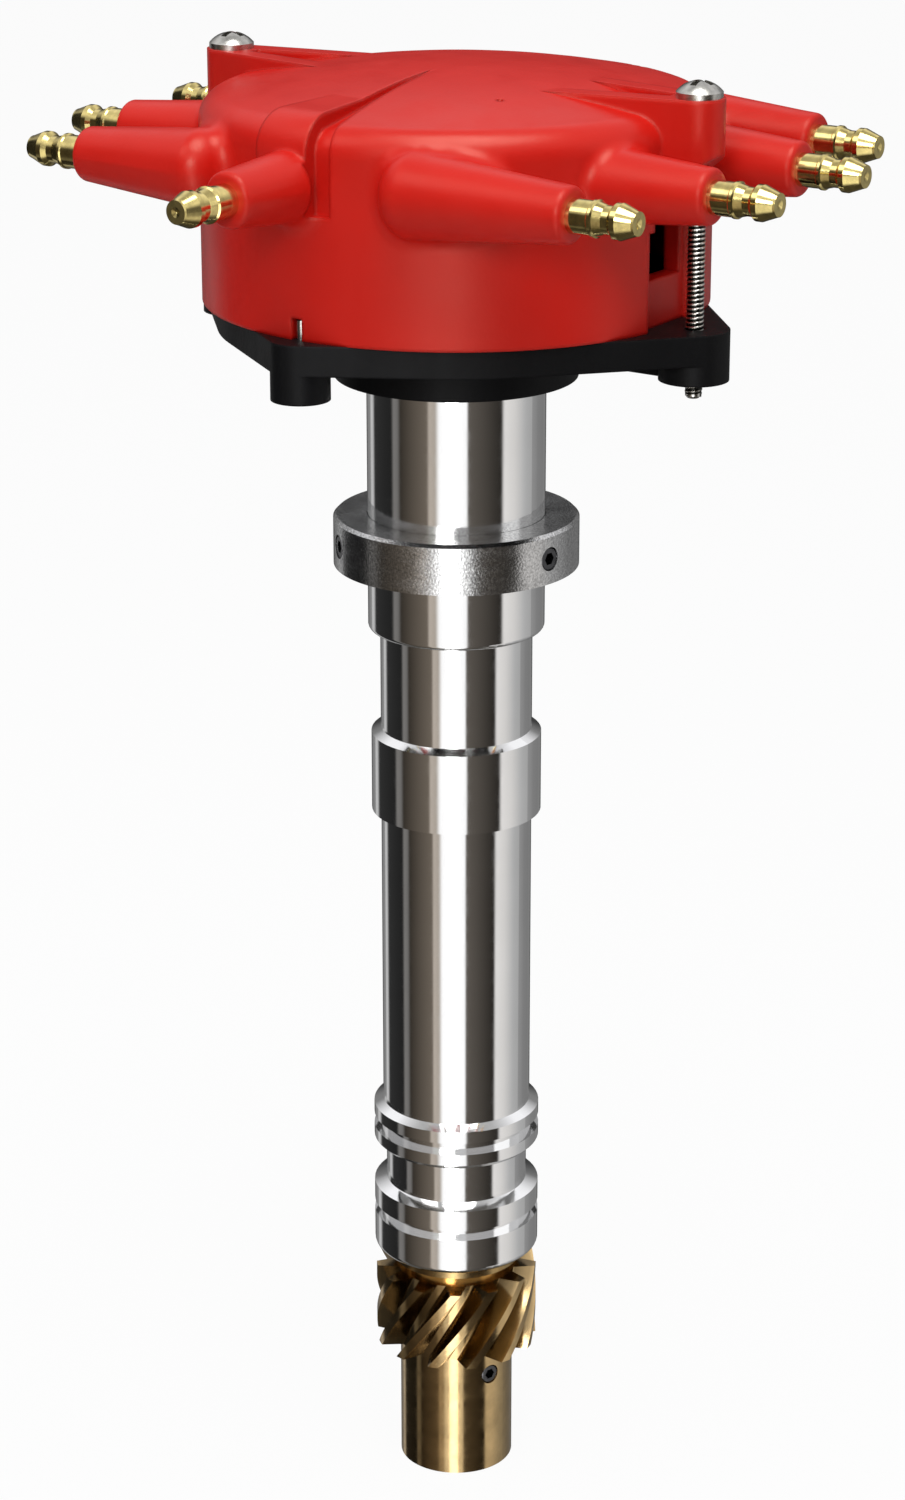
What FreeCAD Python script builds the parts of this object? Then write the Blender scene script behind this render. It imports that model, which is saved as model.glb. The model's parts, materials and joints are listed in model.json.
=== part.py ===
# Ignition distributor for an eight-cylinder engine, driven by a helical gear on its shaft.
#
# Frame: origin at the centre of the slip collar's underside, which seats on the engine.
# +Z runs up the shaft to the cap. +X runs along the cap screws and the plug towers.
# Lengths are in millimetres, angles in degrees.
import FreeCAD, Part
import math
import os
import Sketcher

V = FreeCAD.Vector
SHEET = "Sizes"

# Driving dimensions. Levels are heights above the collar seat; depths are below it.
SIZES = {
    # Housing, outside
    "pilot_radius": 16.13,
    "neck_radius": 14.35,
    "foot_neck_radius": 13.75,
    "upper_radius": 16.60,
    "ring_groove_radius": 14.70,
    "housing_end_depth": 140.80,
    "end_land": 7.40,
    "lower_ring_groove": 2.10,
    "lower_top_land": 5.00,
    "lower_neck": 8.10,
    "upper_ring_land": 3.20,
    "upper_ring_groove": 2.40,
    "upper_top_land": 3.30,
    "band_bottom_depth": 48.80,
    "band_top_depth": 32.40,
    "upper_section_depth": 12.70,
    "land_bevel": 0.90,
    "end_round": 1.20,
    "flange_radius": 27.00,
    "flange_thickness": 2.80,
    # Housing, inside
    "bush_radius": 9.50,
    "bush_length": 25.00,
    "main_bore_radius": 8.80,
    "circlip_groove_depth": 0.90,
    "circlip_thickness": 1.10,
    "circlip_play": 0.05,
    # Bearing
    "bearing_radius": 14.29,
    "bearing_width": 7.94,
    "bearing_cover": 2.40,
    "outer_race_wall": 2.39,
    "inner_race_wall": 2.25,
    "ball_pitch_radius": 10.25,
    "ball_radius": 2.20,
    "ball_count": 8,
    "race_clearance": 0.05,
    "cage_half_width": 2.90,
    "cage_wall": 1.20,
    "shield_thickness": 0.30,
    "shield_inset": 0.35,
    # Shaft
    "shaft_radius": 6.35,
    "shaft_clearance": 0.05,
    "shaft_end_recess": 0.80,
    "drive_slot_width": 4.90,
    "drive_slot_depth": 7.00,
    "shaft_ring_groove": 0.50,
    # Thrust washer and gear
    "end_play": 0.20,
    "washer_thickness": 2.40,
    "washer_radius": 12.70,
    "gear_radius": 15.90,
    "gear_root_radius": 11.90,
    "gear_teeth": 13,
    "gear_face": 16.20,
    "gear_twist_rate": 2.75,
    "gear_phase": -29.0,
    "tooth_tip_share": 0.26,
    "tooth_root_share": 0.72,
    "gear_hub_radius": 11.17,
    "gear_boss_radius": 9.80,
    "gear_boss": 2.10,
    "gear_length": 44.30,
    "gear_screw_radius": 2.00,
    "gear_screw_drop": 4.90,
    "gear_screw_azimuth": -19.0,
    # Slip collar
    "collar_radius": 22.96,
    "collar_height": 9.50,
    "collar_bore_clearance": 0.08,
    "collar_bevel": 0.60,
    "collar_screw_radius": 2.25,
    "collar_screw_azimuth": -8.0,
    "collar_screw_count": 3,
    "socket_share": 0.55,
    "socket_depth": 1.80,
    "screw_inset": 0.20,
    # Base
    "base_seat_level": 50.60,
    "base_plate": 5.40,
    "base_inset": 2.60,
    "base_hub_radius": 22.50,
    "base_hub_level": 35.90,
    "hub_clearance": 0.05,
    "ear_radius": 6.30,
    "ear_drop": 3.70,
    "ear_rib_width": 3.00,
    "cap_screw_out": 3.95,
    "pin_inset": 1.40,
    "pin_boss_inset": 0.90,
    "pin_boss_radius": 5.30,
    "pin_boss_drop": 5.20,
    "pin_azimuth": -93.0,
    "pin_radius": 0.90,
    "pin_proud": 3.40,
    "pin_sunk": 6.00,
    "spigot_height": 3.00,
    "spigot_wall": 3.60,
    "spigot_clearance": 0.35,
    "base_screw_place": 19.70,
    "base_screw_count": 3,
    "base_screw_radius": 1.50,
    "base_screw_head_radius": 2.70,
    "base_screw_head": 1.90,
    "base_screw_length": 12.00,
    "insert_radius": 2.90,
    "insert_length": 7.50,
    # Cap
    "skirt_radius": 46.30,
    "skirt_wall": 3.30,
    "shoulder_radius": 5.30,
    "dome_edge_inset": 4.80,
    "dome_edge_level": 88.30,
    "dome_top_level": 92.75,
    "ceiling_level": 70.50,
    "tower_level": 77.55,
    "tower_tip_radius": 4.95,
    "tower_taper": 0.070,
    "inner_tower_out": 16.15,
    "inner_tower_offset": 15.30,
    "outer_tower_out": 4.80,
    "outer_tower_inset": 4.40,
    "long_tower_length": 36.30,
    "short_tower_length": 30.40,
    "inner_tower_length": 32.25,
    "coil_tower_out": 17.40,
    "coil_tower_azimuth": -93.7,
    "coil_tower_length": 28.30,
    "tower_lip": 1.00,
    "tower_end_radius": 5.00,
    "tower_root_radius": 3.00,
    "boss_level": 91.10,
    "boss_end_level": 82.20,
    "boss_root_level": 75.50,
    "boss_radius": 4.60,
    "boss_spread": 13.54,
    "rib_wall": 4.40,
    "rib_pocket_inset": 1.30,
    "channel_depth": 2.60,
    "channel_half_width": 6.70,
    "channel_edge_radius": 1.70,
    "channel_edge_level": 68.20,
    "window_half_width": 5.60,
    "window_bottom_level": 59.00,
    "window_height": 11.00,
    "ridge_spread": 17.0,
    "ridge_rise": 1.50,
    "ridge_start": 30.00,
    "valley_azimuth": -86.4,
    "valley_spread": 4.6,
    "valley_depth": 1.20,
    "valley_end": 8.00,
    "vent_place": 28.80,
    "vent_azimuth": -41.2,
    "vent_radius": 0.60,
    "notch_width": 2.40,
    "notch_height": 3.80,
    "brush_post_radius": 6.00,
    "brush_post_drop": 3.60,
    "electrode_boss_radius": 4.40,
    "electrode_boss_drop": 5.00,
    # Cap screws
    "cap_screw_radius": 1.45,
    "cap_screw_hole_radius": 1.80,
    "cap_screw_tip_level": 38.20,
    "cap_screw_head_radius": 4.15,
    "cap_screw_head": 3.00,
    "recess_share_long": 0.60,
    "recess_share_short": 0.14,
    # Terminals and electrodes
    "terminal_shank_radius": 2.00,
    "terminal_shank_length": 14.00,
    "terminal_proud": 12.50,
    "terminal_base_radius": 3.00,
    "terminal_ring_radius": 3.20,
    "terminal_neck_radius": 2.50,
    "terminal_bulge_radius": 3.15,
    "terminal_tip_radius": 2.05,
    "terminal_dimple_radius": 0.90,
    "terminal_dimple": 0.40,
    "electrode_inset": 12.70,
    "electrode_first_azimuth": 22.5,
    "electrode_radius": 2.60,
    "electrode_end_level": 62.50,
    "strip_half_width": 1.60,
    "strip_thickness": 1.60,
    # Rotor
    "rotor_hub_level": 54.20,
    "rotor_hub_radius": 9.20,
    "rotor_hub_height": 3.60,
    "rotor_flange_radius": 16.50,
    "rotor_flange": 2.40,
    "rotor_radius": 25.50,
    "rotor_thickness": 3.20,
    "rotor_rim": 1.20,
    "rotor_rim_wall": 2.40,
    "blade_thickness": 1.20,
    "blade_half_width": 4.00,
    "blade_gap": 0.60,
    "blade_tail": 7.00,
    "rotor_screw_place": 12.50,
    "rotor_screw_radius": 1.50,
    "rotor_screw_head_radius": 2.75,
    "rotor_screw_head": 1.70,
    # Brush
    "brush_radius": 2.40,
    "brush_length": 7.90,
    "brush_gap": 0.05,
    "brush_contact_radius": 3.40,
    "brush_fit": 0.08,
    "spring_wire": 0.28,
    "spring_turns": 5,
}

doc = FreeCAD.newDocument("ignition_distributor")
sheet = doc.addObject("Spreadsheet::Sheet", SHEET)
for row, (alias, amount) in enumerate(SIZES.items(), 1):
    sheet.set(f"A{row}", alias)
    sheet.set(f"B{row}", str(amount))
    sheet.setAlias(f"B{row}", alias)
doc.recompute()


class Size:
    """A number together with the sheet expression that gives it."""

    def __init__(self, number, text):
        self.number = float(number)
        self.text = text

    def __add__(self, other):
        other = size(other)
        return Size(self.number + other.number, f"({self.text} + {other.text})")

    def __sub__(self, other):
        other = size(other)
        return Size(self.number - other.number, f"({self.text} - {other.text})")

    def __mul__(self, other):
        other = size(other)
        return Size(self.number * other.number, f"({self.text} * {other.text})")

    def __truediv__(self, other):
        other = size(other)
        return Size(self.number / other.number, f"({self.text} / {other.text})")

    def __neg__(self):
        return Size(-self.number, f"(-{self.text})")

    def __radd__(self, other):
        return size(other) + self

    def __rsub__(self, other):
        return size(other) - self

    def __rmul__(self, other):
        return size(other) * self


def size(value):
    return value if isinstance(value, Size) else Size(value, repr(float(value)))


def root(value):
    return Size(math.sqrt(value.number), f"sqrt({value.text})")


def cosine(angle):
    return Size(math.cos(math.radians(angle.number)), f"cos({angle.text} * 1 deg)")


def sine(angle):
    return Size(math.sin(math.radians(angle.number)), f"sin({angle.text} * 1 deg)")


class Sheet:
    """Every alias of the sheet as an attribute: S.collar_radius and so on."""

    def __getattr__(self, alias):
        return Size(sheet.get(alias), f"{SHEET}.{alias}")


S = Sheet()


def number(alias):
    return float(sheet.get(alias))


def bind(thing, prop, value):
    """Tie one property to the sheet."""
    thing.setExpression(prop, size(value).text)


def lift(thing, level, prop="Placement.Base.z"):
    bind(thing, prop, level)


# Sketches

def plane_of(body, role):
    return next(f for f in body.Origin.OriginFeatures if f.Role == role)


def new_sketch(body, name, role="XY_Plane", level=None):
    """A sketch on one of the body's own planes, at a level along that plane's normal."""
    sketch = body.newObject("Sketcher::SketchObject", name)
    sketch.AttachmentSupport = [(plane_of(body, role), "")]
    sketch.MapMode = "FlatFace"
    if level is not None:
        bind(sketch, "AttachmentOffset.Base.z", level)
    return sketch


def pin_point(sketch, geometry, point, x, y):
    """Hold one point of the sketch at (x, y)."""
    for kind, value in (("DistanceX", x), ("DistanceY", y)):
        value = size(value)
        index = sketch.addConstraint(Sketcher.Constraint(kind, -1, 1, geometry, point, value.number))
        if not value.text.replace(".", "").replace("-", "").isdigit():
            sketch.setExpression(f"Constraints[{index}]", value.text)


def pin_radius(sketch, geometry, radius):
    index = sketch.addConstraint(Sketcher.Constraint("Radius", geometry, radius.number))
    sketch.setExpression(f"Constraints[{index}]", radius.text)


def arc_between(start, end, radius, turn):
    """The arc from start to end, turning left (turn 1) or right (turn -1)."""
    half = (end - start) * 0.5
    side = V(-half.y, half.x, 0).normalize() * turn
    rise = math.sqrt(max(radius * radius - half.Length * half.Length, 0.0))
    centre = start + half + side * rise
    a = math.atan2(start.y - centre.y, start.x - centre.x)
    b = math.atan2(end.y - centre.y, end.x - centre.x)
    circle = Part.Circle(centre, V(0, 0, 1), radius)
    return Part.ArcOfCircle(circle, a, b) if turn > 0 else Part.ArcOfCircle(circle, b, a)


def outline(sketch, corners):
    """A closed outline. A corner is (x, y), or (x, y, radius, turn) where an arc leaves it."""
    spots = [V(size(c[0]).number, size(c[1]).number, 0) for c in corners]
    count = len(corners)
    first = sketch.GeometryCount
    ends = []
    for i, corner in enumerate(corners):
        start, end = spots[i], spots[(i + 1) % count]
        if len(corner) == 2:
            sketch.addGeometry(Part.LineSegment(start, end), False)
            ends.append((1, 2))
        else:
            sketch.addGeometry(arc_between(start, end, size(corner[2]).number, corner[3]), False)
            ends.append((1, 2) if corner[3] > 0 else (2, 1))
    for i, corner in enumerate(corners):
        after = (i + 1) % count
        sketch.addConstraint(Sketcher.Constraint("Coincident", first + i, ends[i][1],
                                                 first + after, ends[after][0]))
        pin_point(sketch, first + i, ends[i][0], corner[0], corner[1])
        if len(corner) == 4:
            pin_radius(sketch, first + i, size(corner[2]))


def circle(sketch, x, y, radius):
    spot = V(size(x).number, size(y).number, 0)
    index = sketch.addGeometry(Part.Circle(spot, V(0, 0, 1), radius.number), False)
    pin_point(sketch, index, 3, x, y)
    pin_radius(sketch, index, radius)


def dome_radius(reach, rise):
    """Radius of the sphere whose cap has this reach and rise."""
    return (reach * reach + rise * rise) / (rise * 2)


def rectangle(sketch, low_x, low_y, high_x, high_y):
    outline(sketch, [(low_x, low_y), (high_x, low_y), (high_x, high_y), (low_x, high_y)])


# Bodies and their features

TOUCH = 0.001


def new_body(name, level=None):
    body = doc.addObject("PartDesign::Body", name)
    body.Label = name
    if level is not None:
        lift(body, level)
    return body


def settle(body, feature, change):
    """Recompute, and make sure that the feature added or removed material."""
    before = body.Shape.Volume if not body.Shape.isNull() else 0.0
    doc.recompute()
    after = feature.Shape.Volume
    if change * (after - before) <= 0:
        raise RuntimeError(f"{feature.Label} changes nothing: {before:.3f} to {after:.3f}")
    return feature


def turned(body, name, corners, change=1, role="XZ_Plane", axis="V_Axis", level=None, offset=None,
           azimuth=None):
    """A revolution (change 1) or a groove (change -1) of an outline about the sketch's axis."""
    sketch = new_sketch(body, name + "_outline", role, level)
    if offset is not None:
        bind(sketch, "AttachmentOffset.Base.y", offset)
    if azimuth is not None:
        bind(sketch, "AttachmentOffset.Rotation.Angle", azimuth)
    outline(sketch, corners)
    kind = "PartDesign::Revolution" if change > 0 else "PartDesign::Groove"
    feature = body.newObject(kind, name)
    feature.Profile = sketch
    feature.ReferenceAxis = (sketch, [axis])
    feature.Angle = 360
    return settle(body, feature, change)


def sector(body, name, corners, change, middle, spread):
    """An outline turned about Z through a part circle that is centred on one azimuth."""
    sketch = new_sketch(body, name + "_outline", "XZ_Plane")
    start = middle - spread * 0.5
    sketch.AttachmentOffset = FreeCAD.Placement(V(), FreeCAD.Rotation(V(0, 1, 0), start.number))
    bind(sketch, "AttachmentOffset.Rotation.Angle", start)
    outline(sketch, corners)
    kind = "PartDesign::Revolution" if change > 0 else "PartDesign::Groove"
    feature = body.newObject(kind, name)
    feature.Profile = sketch
    feature.ReferenceAxis = (sketch, ["V_Axis"])
    bind(feature, "Angle", spread)
    return settle(body, feature, change)


def pad(body, name, draw, height, level=0, role="XY_Plane"):
    sketch = new_sketch(body, name + "_outline", role, level)
    draw(sketch)
    feature = body.newObject("PartDesign::Pad", name)
    feature.Profile = sketch
    bind(feature, "Length", height)
    return settle(body, feature, 1)


def pocket(body, name, draw, depth, level=0, role="XY_Plane", upward=True):
    """A pocket that runs from its level along the plane's normal, or against it."""
    sketch = new_sketch(body, name + "_outline", role, level)
    draw(sketch)
    feature = body.newObject("PartDesign::Pocket", name)
    feature.Profile = sketch
    feature.Reversed = upward
    bind(feature, "Length", depth)
    return settle(body, feature, -1)


def ring_of(body, features, name, count, change):
    """Repeat features about the Z axis."""
    pattern = body.newObject("PartDesign::PolarPattern", name)
    pattern.Originals = features
    axis = plane_of(body, "Z_Axis")
    pattern.Axis = (axis, [""])
    pattern.Angle = 360
    if isinstance(count, Size):
        bind(pattern, "Occurrences", count)
    else:
        pattern.Occurrences = count
    body.Tip = pattern
    return settle(body, pattern, change)


def meeting_edges(shape, one, others):
    """Names of the shape's edges that lie on the surface of one shape and of one of the others."""
    names = []
    for i, edge in enumerate(shape.Edges):
        span = edge.LastParameter - edge.FirstParameter
        spots = [Part.Vertex(edge.valueAt(edge.FirstParameter + span * share)) for share in (0.25, 0.5, 0.75)]

        def carries(solid):
            return all(solid.Shells[0].distToShape(spot)[0] < TOUCH for spot in spots)
        if carries(one) and any(carries(other) for other in others):
            names.append(f"Edge{i + 1}")
    return names


def rounded(body, name, base, edges, radius):
    """A fillet of the named edges of one feature."""
    feature = body.newObject("PartDesign::Fillet", name)
    feature.Base = (base, edges)
    bind(feature, "Radius", radius)
    return settle(body, feature, 1)


def hexagon(reach):
    """Corners of a hexagon, each at one distance from its centre."""
    return [(reach * math.cos(math.radians(60 * i)), reach * math.sin(math.radians(60 * i)))
            for i in range(6)]


# Housing: one turned aluminium tube that carries everything else

DEPTH = S.housing_end_depth
BEARING_FLOOR = S.base_seat_level + S.flange_thickness - S.bearing_width - S.bearing_cover


def land(bottom, height, neck):
    """One pilot land from its bottom height up, bevelled at the top into the neck."""
    top = bottom + height
    return [(S.pilot_radius, bottom), (S.pilot_radius, top - S.land_bevel), (neck, top)]


def pilot_group(bottom, first, groove, second, neck):
    """Two lands with an O-ring groove between them."""
    groove_top = bottom + first + groove
    return [
        (S.pilot_radius, bottom + first),
        (S.ring_groove_radius, bottom + first),
        (S.ring_groove_radius, groove_top),
    ] + land(groove_top, second, neck)


def make_housing():
    body = new_body("housing", -DEPTH)
    lower_top = S.end_land + S.lower_ring_groove + S.lower_top_land
    upper_bottom = lower_top + S.lower_neck
    band_bottom = DEPTH - S.band_bottom_depth
    band_height = S.band_bottom_depth - S.band_top_depth
    section = DEPTH - S.upper_section_depth
    seat = DEPTH + S.base_seat_level
    top = seat + S.flange_thickness
    corners = [(0, 0), (S.pilot_radius - S.end_round, 0, S.end_round, 1), (S.pilot_radius, S.end_round)]
    corners += pilot_group(size(0), S.end_land, S.lower_ring_groove, S.lower_top_land, S.foot_neck_radius)
    corners += [(S.foot_neck_radius, upper_bottom), (S.pilot_radius - S.land_bevel, upper_bottom),
                (S.pilot_radius, upper_bottom + S.land_bevel)]
    corners += pilot_group(upper_bottom, S.upper_ring_land, S.upper_ring_groove, S.upper_top_land,
                           S.neck_radius)
    corners += [(S.neck_radius, band_bottom)] + land(band_bottom, band_height, S.neck_radius)
    corners += [
        (S.neck_radius, section),
        (S.upper_radius - S.land_bevel, section, S.land_bevel, 1),
        (S.upper_radius, section + S.land_bevel),
        (S.upper_radius, seat),
        (S.flange_radius, seat),
        (S.flange_radius, top),
        (0, top),
    ]
    turned(body, "housing_outside", corners)
    bearing_floor = DEPTH + BEARING_FLOOR
    bearing_top = bearing_floor + S.bearing_width
    groove_radius = S.bearing_radius + S.circlip_groove_depth
    groove_top = bearing_top + S.circlip_thickness + S.circlip_play * 2
    turned(body, "housing_bore", [
        (0, 0), (S.bush_radius, 0), (S.bush_radius, S.bush_length), (S.main_bore_radius, S.bush_length),
        (S.main_bore_radius, bearing_floor), (S.bearing_radius, bearing_floor),
        (S.bearing_radius, bearing_top), (groove_radius, bearing_top), (groove_radius, groove_top),
        (S.bearing_radius, groove_top), (S.bearing_radius, top), (0, top)], -1)
    hole = pocket(body, "flange_hole", lambda sk: circle(sk, S.base_screw_place, 0,
                                                         S.base_screw_radius + S.shaft_clearance),
                  S.flange_thickness, seat)
    ring_of(body, [hole], "flange_holes", S.base_screw_count, -1)


def make_lower_bush():
    body = new_body("lower_bush", -DEPTH)
    bore = S.shaft_radius + S.shaft_clearance
    turned(body, "bush_ring", [(bore, 0), (S.bush_radius, 0), (S.bush_radius, S.bush_length),
                               (bore, S.bush_length)])


# Ball bearing at the housing's top

MID_BEARING = S.bearing_width * 0.5


def race(name, wall_radius, inner_radius, outer_radius, groove_side):
    """One race: a ring with the ball groove cut into the side that faces the balls."""
    body = new_body(name, BEARING_FLOOR)
    turned(body, name + "_ring", [(inner_radius, 0), (outer_radius, 0),
                                  (outer_radius, S.bearing_width), (inner_radius, S.bearing_width)])
    groove = S.ball_radius + S.race_clearance
    reach = root(groove * groove - (S.ball_pitch_radius - wall_radius) * (S.ball_pitch_radius - wall_radius))
    turned(body, name + "_groove", [(wall_radius, MID_BEARING - reach),
                                    (wall_radius, MID_BEARING + reach, groove, groove_side)], -1)


def make_bearing():
    inner_wall = S.shaft_radius + S.inner_race_wall
    outer_wall = S.bearing_radius - S.outer_race_wall
    race("bearing_outer_race", outer_wall, outer_wall, S.bearing_radius, -1)
    race("bearing_inner_race", inner_wall, S.shaft_radius, inner_wall, 1)
    cage = new_body("bearing_cage", BEARING_FLOOR + MID_BEARING - S.cage_half_width)
    low = S.ball_pitch_radius - S.cage_wall * 0.5
    high = S.ball_pitch_radius + S.cage_wall * 0.5
    height = S.cage_half_width * 2
    turned(cage, "cage_ring", [(low, 0), (high, 0), (high, height), (low, height)])
    hole = S.ball_radius + S.race_clearance
    opening = pocket(cage, "cage_pocket", lambda sk: circle(sk, 0, S.cage_half_width, hole),
                     S.bearing_radius, role="XZ_Plane", upward=True)
    ring_of(cage, [opening], "cage_pockets", S.ball_count, -1)
    copies = []
    for i in range(int(number("ball_count"))):
        copy = doc.addObject("Part::Sphere", f"ball_{i + 1}")
        bind(copy, "Radius", S.ball_radius)
        turn = S.ball_pitch_radius * cosine(size(360) / S.ball_count * i - 90)
        across = S.ball_pitch_radius * sine(size(360) / S.ball_count * i - 90)
        bind(copy, "Placement.Base.x", turn)
        bind(copy, "Placement.Base.y", across)
        lift(copy, BEARING_FLOOR + MID_BEARING)
        copies.append(copy)
    group("bearing_balls", copies)
    for name, level in (("bearing_lower_shield", BEARING_FLOOR + S.shield_inset),
                        ("bearing_upper_shield", BEARING_FLOOR + S.bearing_width - S.shield_inset
                         - S.shield_thickness)):
        shield = new_body(name, level)
        edge = inner_wall + S.race_clearance * 2
        turned(shield, name + "_disc", [(edge, 0), (outer_wall, 0), (outer_wall, S.shield_thickness),
                                        (edge, S.shield_thickness)])


def group(name, members):
    """Several separate solids in one node."""
    compound = doc.addObject("Part::Compound", name)
    compound.Label = name
    compound.Links = members
    return compound


# Shaft, washer, drive gear

GEAR_TOP = -(DEPTH + S.end_play + S.washer_thickness)
GEAR_BOTTOM = GEAR_TOP - S.gear_length
SHAFT_BOTTOM = GEAR_BOTTOM + S.shaft_end_recess
ROTOR_LEVEL = S.rotor_hub_level + S.rotor_hub_height + S.rotor_flange
RING_LEVEL = BEARING_FLOOR + S.bearing_width + S.circlip_play


def make_shaft():
    body = new_body("shaft", SHAFT_BOTTOM)
    length = ROTOR_LEVEL - SHAFT_BOTTOM
    ring = RING_LEVEL - SHAFT_BOTTOM
    ring_top = ring + S.circlip_thickness
    neck = S.shaft_radius - S.shaft_ring_groove
    turned(body, "shaft_bar", [
        (0, 0), (S.shaft_radius, 0), (S.shaft_radius, ring), (neck, ring), (neck, ring_top),
        (S.shaft_radius, ring_top), (S.shaft_radius, length), (0, length)])
    half = S.drive_slot_width * 0.5
    pocket(body, "drive_slot", lambda sk: rectangle(sk, -S.shaft_radius * 1.5, -half,
                                                    S.shaft_radius * 1.5, half), S.drive_slot_depth)


def circlip(name, inner, outer, gap):
    body = new_body(name, RING_LEVEL)

    def draw(sketch):
        circle(sketch, 0, 0, outer)
        circle(sketch, 0, 0, inner)
    pad(body, name + "_ring", draw, S.circlip_thickness)
    pocket(body, name + "_gap", lambda sk: rectangle(sk, 0, -gap, outer * 1.5, gap), S.circlip_thickness)


def make_thrust_washer():
    body = new_body("thrust_washer", GEAR_TOP)
    bore = S.shaft_radius + S.shaft_clearance
    turned(body, "washer_disc", [(bore, 0), (S.washer_radius, 0), (S.washer_radius, S.washer_thickness),
                                 (bore, S.washer_thickness)])


def tooth_ring(turn, level):
    """The gear's outline at one height: flanks are straight, tips and roots are arcs."""
    teeth = int(number("gear_teeth"))
    pitch = 360.0 / teeth
    tip, base = number("gear_radius"), number("gear_root_radius")
    tip_half = pitch * number("tooth_tip_share") / 2
    base_half = pitch * number("tooth_root_share") / 2

    def spot(radius, angle):
        a = math.radians(angle + turn)
        return V(radius * math.cos(a), radius * math.sin(a), level)
    edges = []
    for i in range(teeth):
        middle = i * pitch
        foot, crest = spot(base, middle - base_half), spot(tip, middle - tip_half)
        crest_end, foot_end = spot(tip, middle + tip_half), spot(base, middle + base_half)
        next_foot = spot(base, middle + pitch - base_half)
        edges.append(Part.makeLine(foot, crest))
        edges.append(Part.Arc(crest, spot(tip, middle), crest_end).toShape())
        edges.append(Part.makeLine(crest_end, foot_end))
        edges.append(Part.Arc(foot_end, spot(base, middle + pitch / 2), next_foot).toShape())
    return Part.Wire(edges)


def make_gear():
    """Helical teeth swept through a twisted loft, on a plain hub with the shaft's bore."""
    face, length = number("gear_face"), number("gear_length")
    steps = 6
    low = length - number("gear_boss") - face
    rings = [tooth_ring(number("gear_phase") - number("gear_twist_rate") * face * (1 - i / steps),
                        low + face * i / steps) for i in range(steps + 1)]
    teeth = Part.makeLoft(rings, True, False)
    hub = Part.makeCylinder(number("gear_hub_radius"), low + face / 2)
    boss = Part.makeCylinder(number("gear_boss_radius"), length)
    bore = Part.makeCylinder(number("shaft_radius"), length)
    drop = low - number("gear_screw_drop")
    azimuth = math.radians(number("gear_screw_azimuth"))
    radial = V(math.cos(azimuth), math.sin(azimuth), 0)
    hole = Part.makeCylinder(number("gear_screw_radius"), number("gear_radius"), V(0, 0, drop), radial)
    gear = doc.addObject("Part::Feature", "drive_gear")
    gear.Label = "drive_gear"
    gear.Shape = teeth.fuse([hub, boss]).cut(bore).cut(hole).removeSplitter()
    gear.Placement = FreeCAD.Placement(V(0, 0, GEAR_BOTTOM.number), FreeCAD.Rotation())


def socket(body, name, across, face_level, depth):
    """A hexagonal socket in a screw that lies along the body's own X axis."""
    pocket(body, name, lambda sk: outline(sk, hexagon(across)), depth, face_level, "YZ_Plane", False)


def radial_screw(name, radius, inner, outer, azimuth, level):
    """A headless set screw that points at the shaft, its socket outward."""
    body = new_body(name, level)
    edge = radius * 0.15
    turned(body, name + "_rod", [(inner, 0), (outer, 0), (outer, radius - edge), (outer - edge, radius),
                                 (inner + edge, radius), (inner, radius - edge)],
           role="XY_Plane", axis="H_Axis")
    socket(body, name + "_socket", radius * S.socket_share, outer, S.socket_depth)
    bind(body, "Placement.Rotation.Angle", azimuth)
    return body


def make_gear_set_screw():
    level = GEAR_TOP - S.gear_boss - S.gear_face - S.gear_screw_drop
    radial_screw("gear_set_screw", S.gear_screw_radius, S.shaft_radius,
                 S.gear_hub_radius - S.screw_inset, S.gear_screw_azimuth, level)


# Slip collar, which sets how deep the housing reaches into the engine

def make_collar():
    bore = S.upper_radius + S.collar_bore_clearance
    body = new_body("slip_collar", 0)
    turned(body, "collar_ring", [
        (bore, 0), (S.collar_radius, 0), (S.collar_radius, S.collar_height - S.collar_bevel),
        (S.collar_radius - S.collar_bevel, S.collar_height), (bore, S.collar_height)])
    middle = S.collar_height * 0.5
    hole = pocket(body, "screw_hole", lambda sk: circle(sk, 0, middle, S.collar_screw_radius),
                  S.collar_radius, role="YZ_Plane")
    ring_of(body, [hole], "screw_holes", S.collar_screw_count, -1)
    bind(body, "Placement.Rotation.Angle", S.collar_screw_azimuth)
    screws = []
    for i in range(int(number("collar_screw_count"))):
        azimuth = S.collar_screw_azimuth + size(360) / S.collar_screw_count * i
        screws.append(radial_screw(f"collar_screw_{i + 1}", S.collar_screw_radius, bore,
                                   S.collar_radius - S.screw_inset, azimuth, middle))
    group("collar_set_screws", screws)


# Base: the moulded plate that carries the cap

def tangent(big, small, distance):
    """Cosine and sine of the angle at which a line touches two circles."""
    share = (big - small) / distance
    return share, root(size(1) - share * share)


def eared_circle(sketch, big, ear, place):
    """A circle with a smaller one at each side along X, joined by their tangents."""
    c, s = tangent(big, ear, place)
    outline(sketch, [
        (place + ear * c, -ear * s, ear, 1), (place + ear * c, ear * s),
        (big * c, big * s, big, 1), (-big * c, big * s),
        (-place - ear * c, ear * s, ear, 1), (-place - ear * c, -ear * s),
        (-big * c, -big * s, big, 1), (big * c, -big * s)])


def capped_circle(sketch, radius, flat):
    """A circle with flats at x = flat and x = -flat."""
    rise = root(radius * radius - flat * flat)
    outline(sketch, [(flat, -rise), (flat, rise, radius, 1), (-flat, rise), (-flat, -rise, radius, 1)])


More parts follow.
